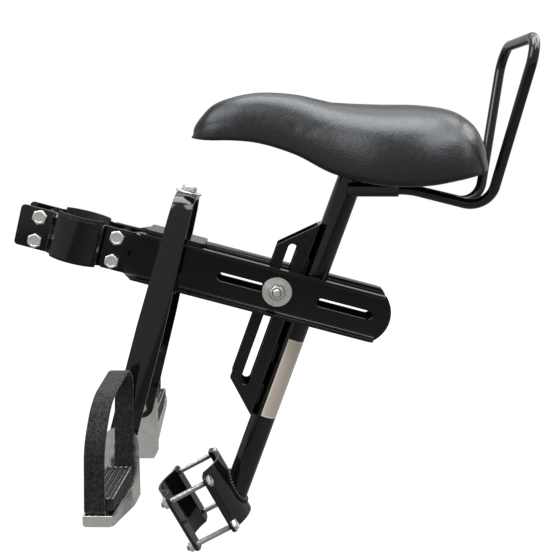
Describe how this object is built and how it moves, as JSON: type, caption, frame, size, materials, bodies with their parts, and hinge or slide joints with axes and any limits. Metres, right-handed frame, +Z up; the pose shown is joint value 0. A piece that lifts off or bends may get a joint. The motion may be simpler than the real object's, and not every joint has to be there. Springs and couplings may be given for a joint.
{
  "type": "top tube child saddle",
  "caption": "Front-mounted bicycle child seat: padded saddle with backrest loop on a slotted post, a beam with a head tube clamp, a down tube clamp and strapped footrests on a yoke.",
  "frame": {"origin": "on the axis of the head tube clamp, at the middle of the clamp's height", "axes": "+X to the rear of the bicycle, -Y to the rider's left, +Z up, as the seat sits on the bicycle"},
  "size_m": [0.5011, 0.349, 0.5211],
  "materials": {
    "black_paint": "gloss",
    "zinc_plate": "bright zinc",
    "chrome": "plated",
    "rubber": "matt",
    "pan_plastic": "moulded",
    "leatherette": "soft sheen",
    "strap_felt": "napped"
  },
  "bodies": {
    "beam": {"beam_channel_left": "black_paint", "beam_channel_right": "black_paint", "head_clamp_left": "black_paint", "head_clamp_right": "black_paint", "head_clamp_liner_left": "rubber", "head_clamp_liner_right": "rubber", "front_clamp_bolts": "zinc_plate", "front_clamp_nuts": "zinc_plate", "rear_clamp_bolts": "zinc_plate", "rear_clamp_nuts": "zinc_plate"},
    "carriage": {"main_bolt": "zinc_plate", "main_washers": "zinc_plate", "main_nut": "zinc_plate"},
    "pivot": {"main_sleeve": "zinc_plate"},
    "post": {"seat_post": "black_paint", "slotted_bracket": "black_paint", "tube_clamp_upper": "black_paint", "tube_clamp_lower": "black_paint", "tube_clamp_bolts": "zinc_plate", "tube_clamp_nuts": "zinc_plate", "seat_plate": "black_paint", "seat_bolts": "zinc_plate", "saddle_pan": "pan_plastic", "saddle_cover": "leatherette", "backrest_socket": "black_paint", "backrest_loop": "black_paint"},
    "yoke": {"footrest_yoke": "black_paint", "yoke_washer": "zinc_plate", "yoke_spacer": "zinc_plate", "yoke_upper_plate": "black_paint", "yoke_lower_plate": "black_paint", "yoke_nut": "zinc_plate", "yoke_bolt": "zinc_plate", "footrest_bolt_left": "zinc_plate", "footrest_bolt_right": "zinc_plate", "footrest_nut_left": "zinc_plate", "footrest_nut_right": "zinc_plate"},
    "footrest_left": {"footrest_bracket_left": "chrome", "footrest_pad_left": "rubber", "foot_strap_left": "strap_felt"},
    "footrest_right": {"footrest_bracket_right": "chrome", "footrest_pad_right": "rubber", "foot_strap_right": "strap_felt"}
  },
  "joints": [
    {"name": "fore_aft_slide", "type": "slide", "parent": "beam", "child": "carriage", "axis": [0.9673, 0, -0.2538], "range_m": [-0.055, 0.009]},
    {"name": "post_tilt", "type": "hinge", "parent": "carriage", "child": "pivot", "pos_m": [0.19877, 0, -0.05215], "axis": [0, 1, 0], "range_deg": [-5, 8]},
    {"name": "post_height", "type": "slide", "parent": "pivot", "child": "post", "axis": [0.3338, 0, 0.9426], "range_m": [-0.03, 0.097]},
    {"name": "yoke_slide", "type": "slide", "parent": "beam", "child": "yoke", "axis": [0.9673, 0, -0.2538], "range_m": [-0.01, 0.01]},
    {"name": "left_footrest_swivel", "type": "hinge", "parent": "yoke", "child": "footrest_left", "pos_m": [0.04672, -0.063, -0.19628], "axis": [0, 1, 0], "range_deg": [-30, 30]},
    {"name": "right_footrest_swivel", "type": "hinge", "parent": "yoke", "child": "footrest_right", "pos_m": [0.04672, 0.063, -0.19628], "axis": [0, 1, 0], "range_deg": [-30, 30]}
  ]
}
